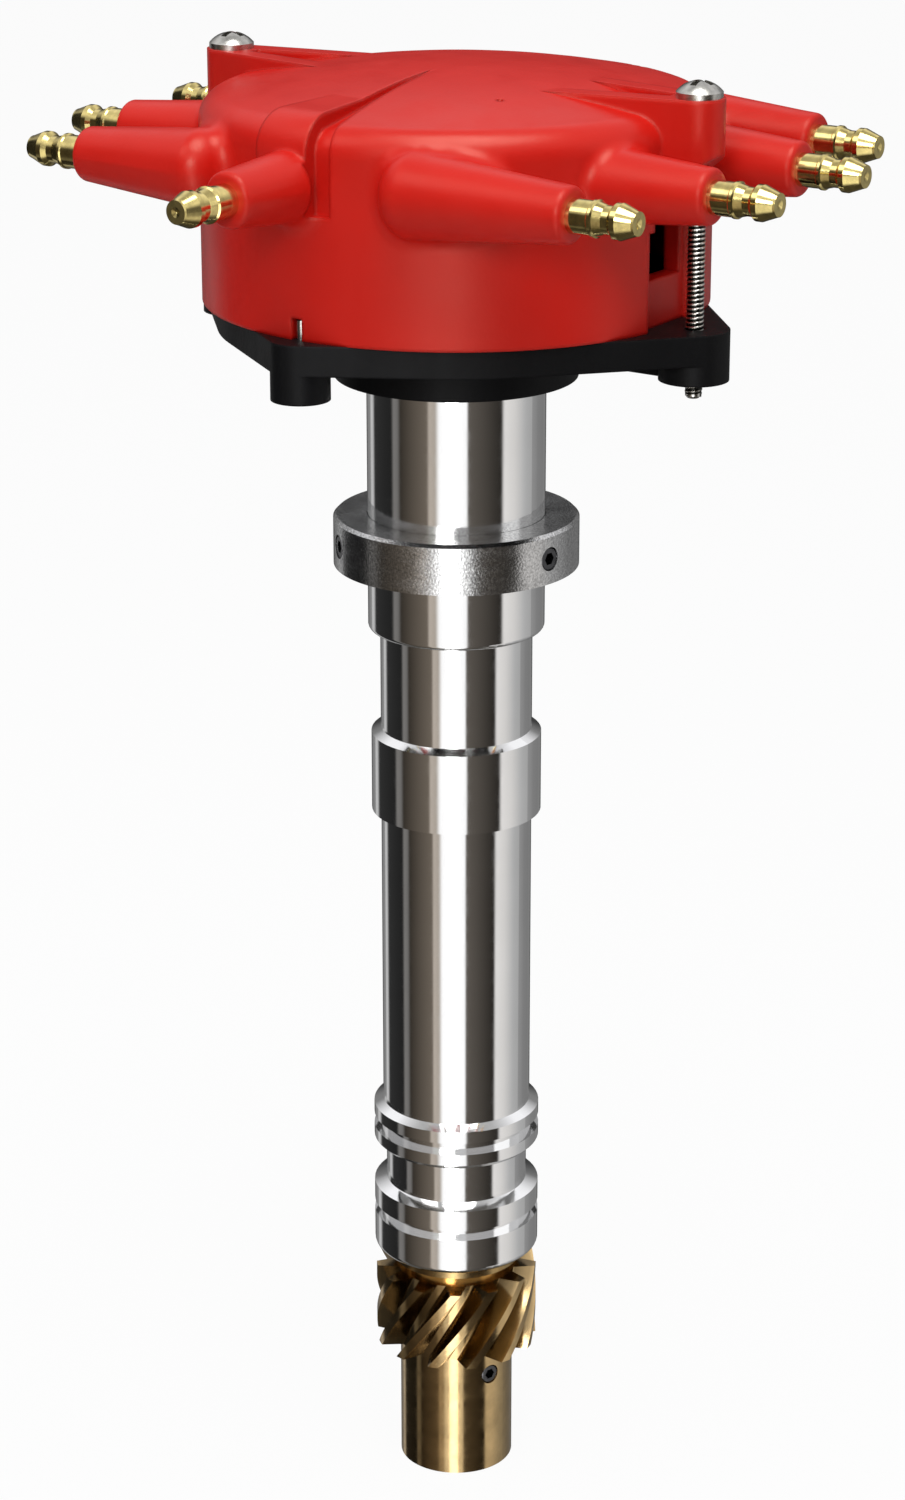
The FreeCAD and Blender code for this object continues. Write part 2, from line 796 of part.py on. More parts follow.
BASE_RADIUS = S.skirt_radius - S.base_inset
CAP_SCREW_PLACE = S.skirt_radius + S.cap_screw_out
PIN_PLACE = S.skirt_radius - S.pin_inset
PIN_BOSS_PLACE = S.skirt_radius - S.pin_boss_inset
CHANNEL_FLOOR = S.skirt_radius - S.channel_depth
CAVITY_RADIUS = S.skirt_radius - S.skirt_wall
CAVITY_FLAT = CHANNEL_FLOOR - S.skirt_wall


def make_base():
    seat = S.base_seat_level
    plate_bottom = seat - S.base_plate
    ear_bottom = plate_bottom - S.ear_drop
    body = new_body("base", 0)
    big, ear, place = BASE_RADIUS, S.ear_radius, CAP_SCREW_PLACE
    pad(body, "plate", lambda sk: eared_circle(sk, big, ear, place), S.base_plate, plate_bottom)

    boss, out = S.pin_boss_radius, PIN_BOSS_PLACE
    pc, ps = tangent(big, boss, out)

    def pin_wedge(sketch):
        bind(sketch, "AttachmentOffset.Rotation.Angle", S.pin_azimuth)
        outline(sketch, [(big * pc, -big * ps), (out + boss * pc, -boss * ps, boss, 1),
                         (out + boss * pc, boss * ps), (big * pc, big * ps)])
    pad(body, "pin_wedge", pin_wedge, S.base_plate, plate_bottom)

    def pin_boss(sketch):
        bind(sketch, "AttachmentOffset.Rotation.Angle", S.pin_azimuth)
        circle(sketch, out, 0, boss)
    pad(body, "pin_boss", pin_boss, S.pin_boss_drop + 1, plate_bottom - S.pin_boss_drop)

    pad(body, "hub", lambda sk: circle(sk, 0, 0, S.base_hub_radius), plate_bottom - S.base_hub_level + 1,
        S.base_hub_level)
    half = S.ear_rib_width * 0.5
    for side in (1, -1):
        pad(body, f"ear_boss_{side + 2}", lambda sk: circle(sk, place * side, 0, ear), S.ear_drop + 1,
            ear_bottom)
    pad(body, "ear_ribs", lambda sk: rectangle(sk, -place, -half, place, half), S.ear_drop + 1, ear_bottom)

    outer, flat = CAVITY_RADIUS - S.spigot_clearance, CAVITY_FLAT - S.spigot_clearance

    def spigot(sketch):
        capped_circle(sketch, outer, flat)
        capped_circle(sketch, outer - S.spigot_wall, flat - S.spigot_wall)
    pad(body, "spigot", spigot, S.spigot_height + 1, seat - 1)

    top = seat + S.spigot_height
    pocket(body, "hub_bore", lambda sk: circle(sk, 0, 0, S.upper_radius + S.hub_clearance),
           top - S.base_hub_level, S.base_hub_level)
    for side in (1, -1):
        pocket(body, f"screw_hole_{side + 2}", lambda sk: circle(sk, place * side, 0, S.cap_screw_hole_radius),
               seat - ear_bottom, ear_bottom)
        pocket(body, f"insert_hole_{side + 2}", lambda sk: circle(sk, place * side, 0, S.insert_radius),
               S.insert_length, ear_bottom)
    hole = pocket(body, "base_screw_hole", lambda sk: circle(sk, S.base_screw_place, 0, S.base_screw_radius),
                  S.base_screw_length - S.flange_thickness,
                  seat - S.base_screw_length + S.flange_thickness)
    ring_of(body, [hole], "base_screw_holes", S.base_screw_count, -1)

    def pin_hole(sketch):
        bind(sketch, "AttachmentOffset.Rotation.Angle", S.pin_azimuth)
        circle(sketch, PIN_PLACE, 0, S.pin_radius)
    pocket(body, "pin_hole", pin_hole, S.pin_sunk, seat - S.pin_sunk)


def make_inserts():
    inserts = []
    for side, name in ((1, "front"), (-1, "rear")):
        body = new_body(f"{name}_insert", S.base_seat_level - S.base_plate - S.ear_drop)
        bind(body, "Placement.Base.x", CAP_SCREW_PLACE * side)
        turned(body, f"{name}_insert_ring", [
            (S.cap_screw_radius, 0), (S.insert_radius, 0), (S.insert_radius, S.insert_length),
            (S.cap_screw_radius, S.insert_length)])
        inserts.append(body)
    group("ear_inserts", inserts)


def headed_screw(name, radius, length, head_radius, head_height, level):
    """A round-headed screw that points down from its seat, with a cross recess."""
    body = new_body(name, level)
    edge = radius * 0.3
    rise = head_height * 0.65
    turned(body, name + "_rod", [
        (0, -length), (radius - edge, -length), (radius, -length + edge), (radius, 0), (head_radius, 0),
        (head_radius, head_height - rise, dome_radius(head_radius, rise), 1), (0, head_height)])
    for turn, x, y in (("across", S.recess_share_long, S.recess_share_short),
                       ("along", S.recess_share_short, S.recess_share_long)):
        pocket(body, f"{name}_recess_{turn}",
               lambda sk: rectangle(sk, -head_radius * x, -head_radius * y, head_radius * x, head_radius * y),
               head_height * 0.5, head_height * 0.5)
    return body


def make_screws():
    place = CAP_SCREW_PLACE
    cap_screws = []
    for side, name in ((1, "front"), (-1, "rear")):
        screw = headed_screw(f"{name}_cap_screw", S.cap_screw_radius, S.boss_level - S.cap_screw_tip_level,
                             S.cap_screw_head_radius, S.cap_screw_head, S.boss_level)
        bind(screw, "Placement.Base.x", place * side)
        cap_screws.append(screw)
    group("cap_screws", cap_screws)
    base_screws = []
    for i in range(int(number("base_screw_count"))):
        azimuth = size(360) / S.base_screw_count * i
        screw = headed_screw(f"base_screw_{i + 1}", S.base_screw_radius, S.base_screw_length,
                             S.base_screw_head_radius, S.base_screw_head,
                             S.base_seat_level + S.flange_thickness)
        bind(screw, "Placement.Base.x", S.base_screw_place * cosine(azimuth))
        bind(screw, "Placement.Base.y", S.base_screw_place * sine(azimuth))
        base_screws.append(screw)
    group("base_screws", base_screws)
    rotor_screws = []
    for side, name in ((1, "left"), (-1, "right")):
        screw = headed_screw(f"{name}_rotor_screw", S.rotor_screw_radius, S.rotor_thickness + S.rotor_flange,
                             S.rotor_screw_head_radius, S.rotor_screw_head,
                             ROTOR_LEVEL + S.rotor_thickness)
        bind(screw, "Placement.Base.y", S.rotor_screw_place * side)
        rotor_screws.append(screw)
    group("rotor_screws", rotor_screws)


def make_locating_pin():
    body = new_body("locating_pin", S.base_seat_level - S.pin_sunk)
    bind(body, "Placement.Base.x", PIN_PLACE * cosine(S.pin_azimuth))
    bind(body, "Placement.Base.y", PIN_PLACE * sine(S.pin_azimuth))
    pad(body, "pin_rod", lambda sk: circle(sk, 0, 0, S.pin_radius), S.pin_sunk + S.pin_proud)


# Cap: the moulded cover with eight plug towers and one coil tower

DOME_EDGE = S.skirt_radius - S.dome_edge_inset
INNER_TOWER_FACE = S.skirt_radius + S.inner_tower_out
OUTER_TOWER_FACE = S.skirt_radius + S.outer_tower_out
OUTER_TOWER_OFFSET = S.skirt_radius - S.outer_tower_inset
COIL_TOWER_FACE = S.skirt_radius + S.coil_tower_out
RIB_POCKET_END = S.skirt_radius - S.rib_pocket_inset
ELECTRODE_PLACE = S.skirt_radius - S.electrode_inset
SHOULDER_MIDDLE = S.skirt_radius - S.shoulder_radius
SHOULDER_LEVEL = S.dome_edge_level - root(
    S.shoulder_radius * S.shoulder_radius
    - (DOME_EDGE - SHOULDER_MIDDLE) * (DOME_EDGE - SHOULDER_MIDDLE))
DOME = dome_radius(DOME_EDGE, S.dome_top_level - S.dome_edge_level)
STRIP_LEVEL = S.tower_level - S.strip_thickness * 0.5


def dome_level(radius):
    """Height of the dome above a point at this radius."""
    return S.dome_top_level - DOME + root(DOME * DOME - radius * radius)


def tower(body, name, face, length, offset=None, azimuth=None):
    """A tapering tower that lies along X, or along one azimuth, rounded at its inner end."""
    root_radius = S.tower_tip_radius + S.tower_taper * length
    inner = face - length
    end = S.tower_end_radius
    return turned(body, name, [
        (inner, 0), (inner, root_radius - end, end, -1), (inner + end, root_radius),
        (face - S.tower_lip, S.tower_tip_radius, S.tower_lip, -1),
        (face, S.tower_tip_radius - S.tower_lip), (face, 0)],
        role="XY_Plane", axis="H_Axis", level=S.tower_level, offset=offset, azimuth=azimuth)


def boss_ring(sketch):
    """Two wedge-shaped screw bosses whose walls run on across the dome."""
    eared_circle(sketch, S.boss_spread, S.boss_radius, CAP_SCREW_PLACE)
    c, s = tangent(S.boss_spread, S.boss_radius, CAP_SCREW_PLACE)
    slope = c / s
    wide = S.boss_spread / s - S.rib_wall
    end = RIB_POCKET_END
    narrow = wide - end * slope
    outline(sketch, [(end, -narrow), (end, narrow), (0, wide), (-end, narrow), (-end, -narrow), (0, -wide)])


def boss_underside(sketch):
    end = CAP_SCREW_PLACE + S.boss_radius + 1
    low = S.boss_root_level - 1
    for side in (1, -1):
        outline(sketch, [(S.skirt_radius * side, low), (end * side, low), (end * side, S.boss_end_level),
                         (S.skirt_radius * side, S.boss_root_level)])


def channel_edges(sketch, side):
    """A screw channel whose side walls turn into the skirt with a rounded corner."""
    half, r = S.channel_half_width, S.channel_edge_radius
    grow = S.skirt_radius / (S.skirt_radius - r)
    start = root((S.skirt_radius - r) * (S.skirt_radius - r) - (half + r) * (half + r))
    end, wide, far = start * grow, (half + r) * grow, CAP_SCREW_PLACE
    outline(sketch, [
        (CHANNEL_FLOOR * side, -half), (start * side, -half, r, -side), (end * side, -wide),
        (far * side, -wide), (far * side, wide), (end * side, wide, r, -side), (start * side, half),
        (CHANNEL_FLOOR * side, half)])


def make_cap():
    seat = S.base_seat_level
    body = new_body("cap_moulding", 0)
    pad(body, "bosses", boss_ring, S.boss_level - S.boss_root_level + 1, S.boss_root_level - 1)
    reach = S.boss_radius * 2
    pocket(body, "boss_underside", boss_underside, reach * 2, -reach, "XZ_Plane")
    shell = turned(body, "shell", [
        (0, seat), (S.skirt_radius, seat), (S.skirt_radius, SHOULDER_LEVEL, S.shoulder_radius, 1),
        (DOME_EDGE, S.dome_edge_level, DOME, 1), (0, S.dome_top_level)])
    towers = []
    for name, face, length, offset in (
            ("inner_left_tower", INNER_TOWER_FACE, S.inner_tower_length, S.inner_tower_offset),
            ("inner_right_tower", INNER_TOWER_FACE, S.inner_tower_length, -S.inner_tower_offset),
            ("short_tower", OUTER_TOWER_FACE, S.short_tower_length, OUTER_TOWER_OFFSET),
            ("long_tower", OUTER_TOWER_FACE, S.long_tower_length, -OUTER_TOWER_OFFSET)):
        towers.append(tower(body, name, face, length, offset))
    ring_of(body, towers, "far_towers", 2, 1)
    coil = tower(body, "coil_tower", COIL_TOWER_FACE, S.coil_tower_length, azimuth=S.coil_tower_azimuth)
    tools = [near.AddSubShape for near in towers]
    tools += [tool.rotated(V(), V(0, 0, 1), 180) for tool in tools]
    roots = meeting_edges(coil.Shape, shell.Shape, tools + [coil.AddSubShape])
    rounded(body, "tower_roots", coil, roots, S.tower_root_radius)
    rise = S.ridge_rise
    sector(body, "coil_ridge", [
        (S.ridge_start, S.tower_level), (S.skirt_radius + rise, S.tower_level),
        (S.skirt_radius + rise, SHOULDER_LEVEL, S.shoulder_radius + rise, 1),
        (SHOULDER_MIDDLE, SHOULDER_LEVEL + S.shoulder_radius + rise),
        (S.ridge_start, dome_level(S.ridge_start))], 1, S.coil_tower_azimuth, S.ridge_spread)
    deep = S.valley_depth
    out = S.skirt_radius + rise + 1
    over = S.dome_top_level + rise
    sector(body, "valley", [
        (S.skirt_radius - deep, S.tower_level - S.tower_tip_radius), (out, S.tower_level - S.tower_tip_radius),
        (out, over), (S.valley_end, over), (S.valley_end, dome_level(S.valley_end)),
        (SHOULDER_MIDDLE, SHOULDER_LEVEL + S.shoulder_radius - deep, S.shoulder_radius - deep, -1),
        (S.skirt_radius - deep, SHOULDER_LEVEL)], -1, S.valley_azimuth, S.valley_spread)
    far = CAP_SCREW_PLACE
    half = S.channel_half_width
    for side, name in ((1, "front"), (-1, "rear")):
        pocket(body, f"{name}_channel", lambda sk: rectangle(sk, CHANNEL_FLOOR * side, -half, far * side, half),
               S.boss_root_level - seat, seat)
        pocket(body, f"{name}_channel_edges", lambda sk: channel_edges(sk, side),
               S.channel_edge_level - seat, seat)
        slot = S.window_half_width
        pocket(body, f"{name}_window", lambda sk: rectangle(sk, CAVITY_FLAT * side, -slot, far * side, slot),
               S.window_height, S.window_bottom_level)
        pocket(body, f"{name}_screw_hole", lambda sk: circle(sk, far * side, 0, S.cap_screw_hole_radius),
               S.boss_level - S.boss_root_level, S.boss_root_level)
    pocket(body, "cavity", lambda sk: capped_circle(sk, CAVITY_RADIUS, CAVITY_FLAT),
           S.ceiling_level - seat, seat)
    x = ELECTRODE_PLACE * cosine(S.electrode_first_azimuth)
    y = ELECTRODE_PLACE * sine(S.electrode_first_azimuth)
    boss = pad(body, "electrode_boss", lambda sk: circle(sk, x, y, S.electrode_boss_radius),
               S.electrode_boss_drop + 1, S.ceiling_level - S.electrode_boss_drop)
    ring_of(body, [boss], "electrode_bosses", 8, 1)
    post = S.ceiling_level - S.brush_post_drop
    pad(body, "brush_post", lambda sk: circle(sk, 0, 0, S.brush_post_radius), S.brush_post_drop + 1, post)
    pocket(body, "brush_bore", lambda sk: circle(sk, 0, 0, S.brush_radius + S.brush_fit),
           STRIP_LEVEL - post, post)

    def notch(sketch):
        bind(sketch, "AttachmentOffset.Rotation.Angle", S.pin_azimuth)
        rectangle(sketch, CAVITY_RADIUS - 1, -S.notch_width * 0.5, S.skirt_radius + 1, S.notch_width * 0.5)
    pocket(body, "pin_notch", notch, S.notch_height, seat)

    def vent(sketch):
        bind(sketch, "AttachmentOffset.Rotation.Angle", S.vent_azimuth)
        circle(sketch, S.vent_place, 0, S.vent_radius)
    pocket(body, "vent", vent, S.dome_top_level - S.ceiling_level, S.ceiling_level)
    return body


def make_terminal(name):
    """A brass plug terminal that lies along X, its shank moulded into the tower."""
    body = new_body(name, S.tower_level)
    long, proud = S.terminal_shank_length, S.terminal_proud
    shank, base, ring = S.terminal_shank_radius, S.terminal_base_radius, S.terminal_ring_radius
    neck, bulge, tip = S.terminal_neck_radius, S.terminal_bulge_radius, S.terminal_tip_radius
    lip = (ring - base) * 0.5
    turned(body, name + "_outline", [
        (-long, 0), (-long, shank), (0, shank), (0, base), (proud * 0.32, base), (proud * 0.34, ring),
        (proud * 0.38, ring), (proud * 0.40, base - lip), (proud * 0.52, neck), (proud * 0.62, neck),
        (proud * 0.68, bulge), (proud * 0.76, bulge), (proud * 0.97, tip + lip), (proud, tip),
        (proud, S.terminal_dimple_radius), (proud - S.terminal_dimple, 0)], role="XY_Plane", axis="H_Axis")
    return body


def terminal_places():
    """Sides and offsets of the eight plug terminals, round the cap from the first electrode."""
    inner = (INNER_TOWER_FACE, S.inner_tower_offset)
    outer = (OUTER_TOWER_FACE, OUTER_TOWER_OFFSET)
    quarter = [(inner, 1, 1), (outer, 1, 1), (outer, -1, 1), (inner, -1, 1)]
    return quarter + [(kind, -x, -y) for kind, x, y in quarter]


def make_plug_leads():
    """The eight terminals, and the electrode that joins each to the rotor's track."""
    inserts = []
    for i, ((face, offset), x, y) in enumerate(terminal_places()):
        terminal = make_terminal(f"plug_terminal_{i + 1}")
        bind(terminal, "Placement.Base.x", face * x)
        bind(terminal, "Placement.Base.y", offset * y)
        bind(terminal, "Placement.Rotation.Angle", 0 if x > 0 else 180)
        azimuth = S.electrode_first_azimuth + 45 * i
        at_x, at_y = ELECTRODE_PLACE * cosine(azimuth), ELECTRODE_PLACE * sine(azimuth)
        end_x, end_y = (face - S.terminal_shank_length) * x, offset * y
        half = S.strip_half_width
        electrode = new_body(f"cap_electrode_{i + 1}", 0)
        pad(electrode, "post", lambda sk: circle(sk, at_x, at_y, S.electrode_radius),
            STRIP_LEVEL + S.strip_thickness - S.electrode_end_level, S.electrode_end_level)
        pad(electrode, "strip", lambda sk: outline(sk, [
            (at_x, at_y - half), (end_x, end_y - half), (end_x, end_y + half), (at_x, at_y + half)]),
            S.strip_thickness, STRIP_LEVEL)
        inserts += [terminal, electrode]
    return inserts


def make_coil_lead():
    """The coil terminal, and the strip from it to the cap's centre."""
    terminal = make_terminal("coil_terminal")
    bind(terminal, "Placement.Base.x", COIL_TOWER_FACE * cosine(S.coil_tower_azimuth))
    bind(terminal, "Placement.Base.y", COIL_TOWER_FACE * sine(S.coil_tower_azimuth))
    bind(terminal, "Placement.Rotation.Angle", S.coil_tower_azimuth)
    strip = new_body("coil_strip", STRIP_LEVEL)
    bind(strip, "Placement.Rotation.Angle", S.coil_tower_azimuth)
    half = S.strip_half_width
    pad(strip, "contact", lambda sk: circle(sk, 0, 0, S.brush_contact_radius), S.strip_thickness)
    pad(strip, "run", lambda sk: rectangle(sk, 0, -half, COIL_TOWER_FACE - S.terminal_shank_length, half),
        S.strip_thickness)
    return [terminal, strip]


def cut_cap(body, inserts):
    """Leave room in the moulding for the metal that is moulded into it."""
    metal = doc.addObject("Part::Compound", "moulded_in_metal")
    metal.Links = inserts
    cap = doc.addObject("Part::Cut", "cap")
    cap.Label = "cap"
    cap.Base = body
    cap.Tool = metal


# Rotor and brush

def make_rotor():
    hub = new_body("rotor_hub", S.rotor_hub_level)
    bore, low = S.shaft_radius, S.rotor_hub_height
    top = low + S.rotor_flange
    turned(hub, "hub_ring", [(bore, 0), (S.rotor_hub_radius, 0), (S.rotor_hub_radius, low),
                             (S.rotor_flange_radius, low), (S.rotor_flange_radius, top), (bore, top)])
    rotor = new_body("rotor", ROTOR_LEVEL)
    rim = S.rotor_radius - S.rotor_rim_wall
    turned(rotor, "rotor_disc", [(0, 0), (rim, 0), (rim, -S.rotor_rim), (S.rotor_radius, -S.rotor_rim),
                                 (S.rotor_radius, S.rotor_thickness), (0, S.rotor_thickness)])
    for body, level, depth in ((hub, low, S.rotor_flange), (rotor, size(0), S.rotor_thickness)):
        for side, name in ((1, "left"), (-1, "right")):
            pocket(body, f"{name}_screw_hole",
                   lambda sk: circle(sk, 0, S.rotor_screw_place * side, S.rotor_screw_radius), depth, level)
    blade = new_body("rotor_blade", ROTOR_LEVEL + S.rotor_thickness)
    tip = ELECTRODE_PLACE - S.electrode_radius - S.blade_gap
    half = S.blade_half_width
    end = root(tip * tip - half * half)
    pad(blade, "blade_plate", lambda sk: outline(sk, [
        (-S.blade_tail, -half), (end, -half, tip, 1), (end, half), (-S.blade_tail, half)]),
        S.blade_thickness)


BRUSH_LEVEL = ROTOR_LEVEL + S.rotor_thickness + S.blade_thickness + S.brush_gap


def make_brush():
    body = new_body("carbon_brush", BRUSH_LEVEL)
    edge = S.brush_radius * 0.2
    turned(body, "brush_rod", [
        (0, 0), (S.brush_radius - edge, 0), (S.brush_radius, edge), (S.brush_radius, S.brush_length),
        (0, S.brush_length)])


def make_brush_spring():
    """A coil spring from the brush's top to the coil strip."""
    low = BRUSH_LEVEL + S.brush_length
    wire = S.spring_wire
    length = STRIP_LEVEL - low - wire * 2
    coil = S.brush_radius - wire * 1.5
    helix = doc.addObject("Part::Helix", "spring_line")
    bind(helix, "Pitch", length / S.spring_turns)
    bind(helix, "Height", length)
    bind(helix, "Radius", coil)
    lift(helix, low + wire)
    wire_circle = doc.addObject("Part::Circle", "spring_wire_circle")
    bind(wire_circle, "Radius", wire)
    wire_circle.Placement = FreeCAD.Placement(V(), FreeCAD.Rotation(V(1, 0, 0), 90))
    bind(wire_circle, "Placement.Base.x", coil)
    lift(wire_circle, low + wire)
    spring = doc.addObject("Part::Sweep", "brush_spring")
    spring.Label = "brush_spring"
    spring.Sections = [wire_circle]
    spring.Spine = (helix, [])
    spring.Solid = True
    spring.Frenet = True


# Build all, check all, write all

def make_all():
    make_housing()
    make_lower_bush()
    make_bearing()
    make_shaft()
    circlip("bearing_circlip", S.bearing_radius - 2, S.bearing_radius + S.circlip_groove_depth, 5)
    circlip("shaft_circlip", S.shaft_radius - S.shaft_ring_groove, S.shaft_radius + 2, 3)
    make_thrust_washer()
    make_gear()
    make_gear_set_screw()
    make_collar()
    make_base()
    make_inserts()
    make_screws()
    make_locating_pin()
    moulding = make_cap()
    cut_cap(moulding, make_plug_leads() + make_coil_lead())
    make_rotor()
    make_brush()
    make_brush_spring()


NODES = [
    "housing", "lower_bush", "bearing_outer_race", "bearing_inner_race", "bearing_cage", "bearing_balls",
    "bearing_lower_shield", "bearing_upper_shield", "bearing_circlip", "shaft", "shaft_circlip",
    "thrust_washer", "drive_gear", "gear_set_screw", "slip_collar", "collar_set_screws", "base",
    "ear_inserts", "cap_screws", "base_screws", "rotor_screws", "locating_pin", "cap", "coil_terminal",
    "coil_strip", "rotor_hub", "rotor", "rotor_blade", "carbon_brush", "brush_spring",
] + [f"plug_terminal_{i}" for i in range(1, 9)] + [f"cap_electrode_{i}" for i in range(1, 9)]


def write_all():
    os.makedirs("parts", exist_ok=True)
    doc.recompute()
    for thing in doc.Objects:
        if "Invalid" in thing.State or "Error" in thing.State:
            raise RuntimeError(f"{thing.Label} did not build: {thing.State}")
    for name in NODES:
        thing = doc.getObjectsByLabel(name)[0]
        shape = thing.Shape
        if shape.isNull() or not shape.isValid() or shape.Volume <= 0:
            raise RuntimeError(f"{name} has no sound shape")
        shape.exportStep(f"parts/{name}.step")
        box = shape.BoundBox
        print(f"{name}: {len(shape.Solids)} solid, volume {shape.Volume:.1f}, x {box.XMin:.2f} {box.XMax:.2f}, "
              f"y {box.YMin:.2f} {box.YMax:.2f}, z {box.ZMin:.2f} {box.ZMax:.2f}")


make_all()
write_all()
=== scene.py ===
import json
import math

import bmesh
import bpy
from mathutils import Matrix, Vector


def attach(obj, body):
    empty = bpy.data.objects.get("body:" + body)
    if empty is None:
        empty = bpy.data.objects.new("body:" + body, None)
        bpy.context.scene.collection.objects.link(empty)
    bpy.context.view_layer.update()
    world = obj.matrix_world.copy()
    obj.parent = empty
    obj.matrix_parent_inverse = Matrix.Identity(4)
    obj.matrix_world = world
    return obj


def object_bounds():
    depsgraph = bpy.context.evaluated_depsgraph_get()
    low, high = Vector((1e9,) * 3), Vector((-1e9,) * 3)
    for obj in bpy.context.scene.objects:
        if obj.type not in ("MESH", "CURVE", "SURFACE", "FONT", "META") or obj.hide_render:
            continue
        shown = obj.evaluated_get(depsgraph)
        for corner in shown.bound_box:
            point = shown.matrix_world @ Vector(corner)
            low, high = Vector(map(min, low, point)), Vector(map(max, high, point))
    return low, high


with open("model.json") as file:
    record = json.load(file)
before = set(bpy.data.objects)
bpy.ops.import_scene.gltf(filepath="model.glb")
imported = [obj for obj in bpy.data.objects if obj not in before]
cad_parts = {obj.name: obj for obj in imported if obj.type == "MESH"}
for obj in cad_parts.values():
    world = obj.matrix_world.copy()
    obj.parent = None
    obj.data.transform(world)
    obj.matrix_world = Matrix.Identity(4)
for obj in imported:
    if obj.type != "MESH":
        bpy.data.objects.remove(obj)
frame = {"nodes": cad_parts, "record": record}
cad_box = [list(corner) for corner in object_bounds()]
nodes = frame["nodes"]
slots = {row["node"]: row["material_slot"] for row in frame["record"]["subparts"]}
scene = bpy.context.scene
MM = 0.001


# Node helpers

def shader_tree(name):
    """A new material and its tree, with the surface shader and the object's own coordinates."""
    material = bpy.data.materials.new(name)
    material.use_nodes = True
    tree = material.node_tree
    shader = tree.nodes["Principled BSDF"]
    coords = tree.nodes.new("ShaderNodeTexCoord")
    return material, tree, shader, coords.outputs["Object"]


def link(tree, source, target):
    tree.links.new(source, target)


def mapped(tree, coords, scale):
    """The coordinates stretched by a scale along each axis."""
    node = tree.nodes.new("ShaderNodeMapping")
    node.inputs["Scale"].default_value = scale
    link(tree, coords, node.inputs["Vector"])
    return node.outputs["Vector"]


def noise(tree, coords, scale, detail=3.0, rough=0.5):
    node = tree.nodes.new("ShaderNodeTexNoise")
    node.inputs["Scale"].default_value = scale
    node.inputs["Detail"].default_value = detail
    node.inputs["Roughness"].default_value = rough
    link(tree, coords, node.inputs["Vector"])
    return node.outputs["Fac"]


def ramp(tree, value, stops):
    """A colour ramp. A stop is a position and a colour."""
    node = tree.nodes.new("ShaderNodeValToRGB")
    elements = node.color_ramp.elements
    while len(elements) < len(stops):
        elements.new(0.5)
    for element, (position, colour) in zip(elements, stops):
        element.position = position
        element.color = (*colour, 1.0)
    link(tree, value, node.inputs["Fac"])
    return node.outputs["Color"]


def spread(tree, value, low, high, to_low, to_high):
    node = tree.nodes.new("ShaderNodeMapRange")
    for name, number in (("From Min", low), ("From Max", high), ("To Min", to_low), ("To Max", to_high)):
        node.inputs[name].default_value = number
    link(tree, value, node.inputs["Value"])
    return node.outputs["Result"]


def distance_from_axis(tree, coords):
    """How far a point lies from the object's own Z axis."""
    length = tree.nodes.new("ShaderNodeVectorMath")
    length.operation = "LENGTH"
    link(tree, mapped(tree, coords, (1.0, 1.0, 0.0)), length.inputs[0])
    return length.outputs["Value"]


def turning_marks(tree, coords, lines, detail=2.0):
    """Fine rings round the Z axis, on upright walls as well as on the faces of steps."""
    split = tree.nodes.new("ShaderNodeSeparateXYZ")
    link(tree, coords, split.inputs[0])
    join = tree.nodes.new("ShaderNodeCombineXYZ")
    link(tree, distance_from_axis(tree, coords), join.inputs["X"])
    link(tree, split.outputs["Z"], join.inputs["Z"])
    return noise(tree, mapped(tree, join.outputs[0], (lines, 1.0, lines)), 1.0, detail)


def bumped(tree, shader, heights, edge=None):
    """Bump maps one on another. Each is a height, a strength and a distance in metres."""
    normal = None
    if edge is not None:
        soft = tree.nodes.new("ShaderNodeBevel")
        soft.samples = 6
        soft.inputs["Radius"].default_value = edge
        normal = soft.outputs["Normal"]
    for height, strength, distance in heights:
        node = tree.nodes.new("ShaderNodeBump")
        node.inputs["Strength"].default_value = strength
        node.inputs["Distance"].default_value = distance
        link(tree, height, node.inputs["Height"])
        if normal is not None:
            link(tree, normal, node.inputs["Normal"])
        normal = node.outputs["Normal"]
    link(tree, normal, shader.inputs["Normal"])


def tones(colour, low, high):
    """Two tones of one colour."""
    return [tuple(min(1.0, c * low) for c in colour), tuple(min(1.0, c * high) for c in colour)]


# Materials

def metal(name, colour, rough, spots=60.0, turned=0.0, grain=0.0, contrast=0.10, rough_spread=0.06,
          shade=()):
    """Metal with tonal variation, and turning rings or a blasted grain where it has them.

    The painted shade darkens it by distance from the axis: stops of a radius in metres and a share.
    """
    material, tree, shader, coords = shader_tree(name)
    patches = noise(tree, coords, spots, 4.0)
    dark, light = tones(colour, 1 - contrast, 1 + contrast)
    tone = ramp(tree, patches, [(0.30, dark), (0.70, light)])
    if shade:
        reach = shade[-1][0]
        place = spread(tree, distance_from_axis(tree, coords), 0.0, reach, 0.0, 1.0)
        mix = tree.nodes.new("ShaderNodeMix")
        mix.data_type = "RGBA"
        mix.blend_type = "MULTIPLY"
        mix.inputs["Factor"].default_value = 1.0
        link(tree, tone, mix.inputs[6])
        shares = [(radius / reach, (share,) * 3) for radius, share in shade]
        link(tree, ramp(tree, place, shares), mix.inputs[7])
        tone = mix.outputs[2]
    link(tree, tone, shader.inputs["Base Color"])
    shader.inputs["Metallic"].default_value = 1.0
    smears = noise(tree, mapped(tree, coords, (120.0, 120.0, 420.0)), 1.0, 4.0)
    link(tree, spread(tree, smears, 0.3, 0.7, rough - rough_spread, rough + rough_spread),
         shader.inputs["Roughness"])
    heights = []
    if turned:
        heights.append((turning_marks(tree, coords, 5200.0), turned, 0.00002))
    if grain:
        heights.append((noise(tree, coords, 2600.0, 2.0), grain, 0.00010))
    if not heights:
        heights.append((noise(tree, coords, 900.0, 3.0), 0.05, 0.00005))
    bumped(tree, shader, heights)
    return material


